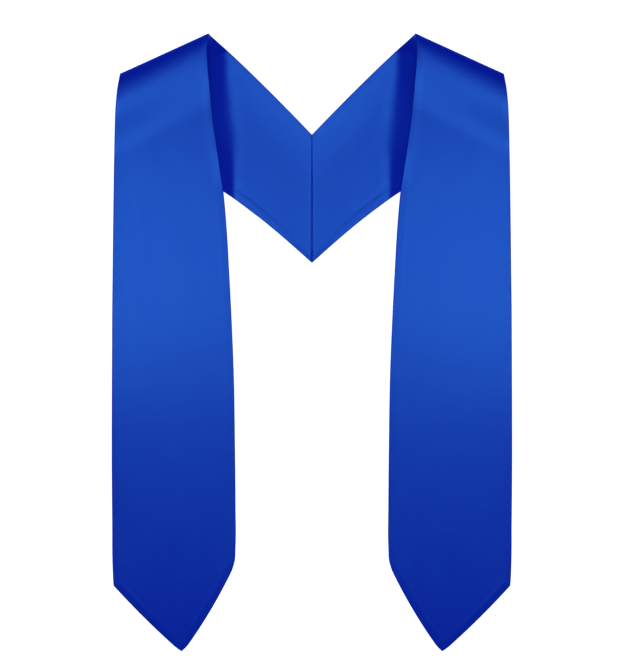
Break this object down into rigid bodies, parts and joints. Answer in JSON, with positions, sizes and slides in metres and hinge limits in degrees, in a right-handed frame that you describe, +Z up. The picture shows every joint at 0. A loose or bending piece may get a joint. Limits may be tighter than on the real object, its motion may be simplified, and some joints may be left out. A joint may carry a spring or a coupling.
{
  "type": "graduation stole",
  "caption": "Plain satin graduation stole with pointed ends and a pointed back, laid out flat and folded over at both shoulders.",
  "frame": {"origin": "middle of the outline, on the surface that the stole lies on", "axes": "+Y from the pointed ends towards the shoulder folds, +Z up from the surface, +X across, to the right as seen from above with the shoulders away from the viewer"},
  "size_m": [0.4564, 0.7032, 0.0085],
  "materials": {
    "satin": "royal blue satin with a soft sheen"
  },
  "bodies": {
    "root": {"left_face": "satin", "left_lining": "satin", "right_face": "satin", "right_lining": "satin"}
  },
  "joints": []
}
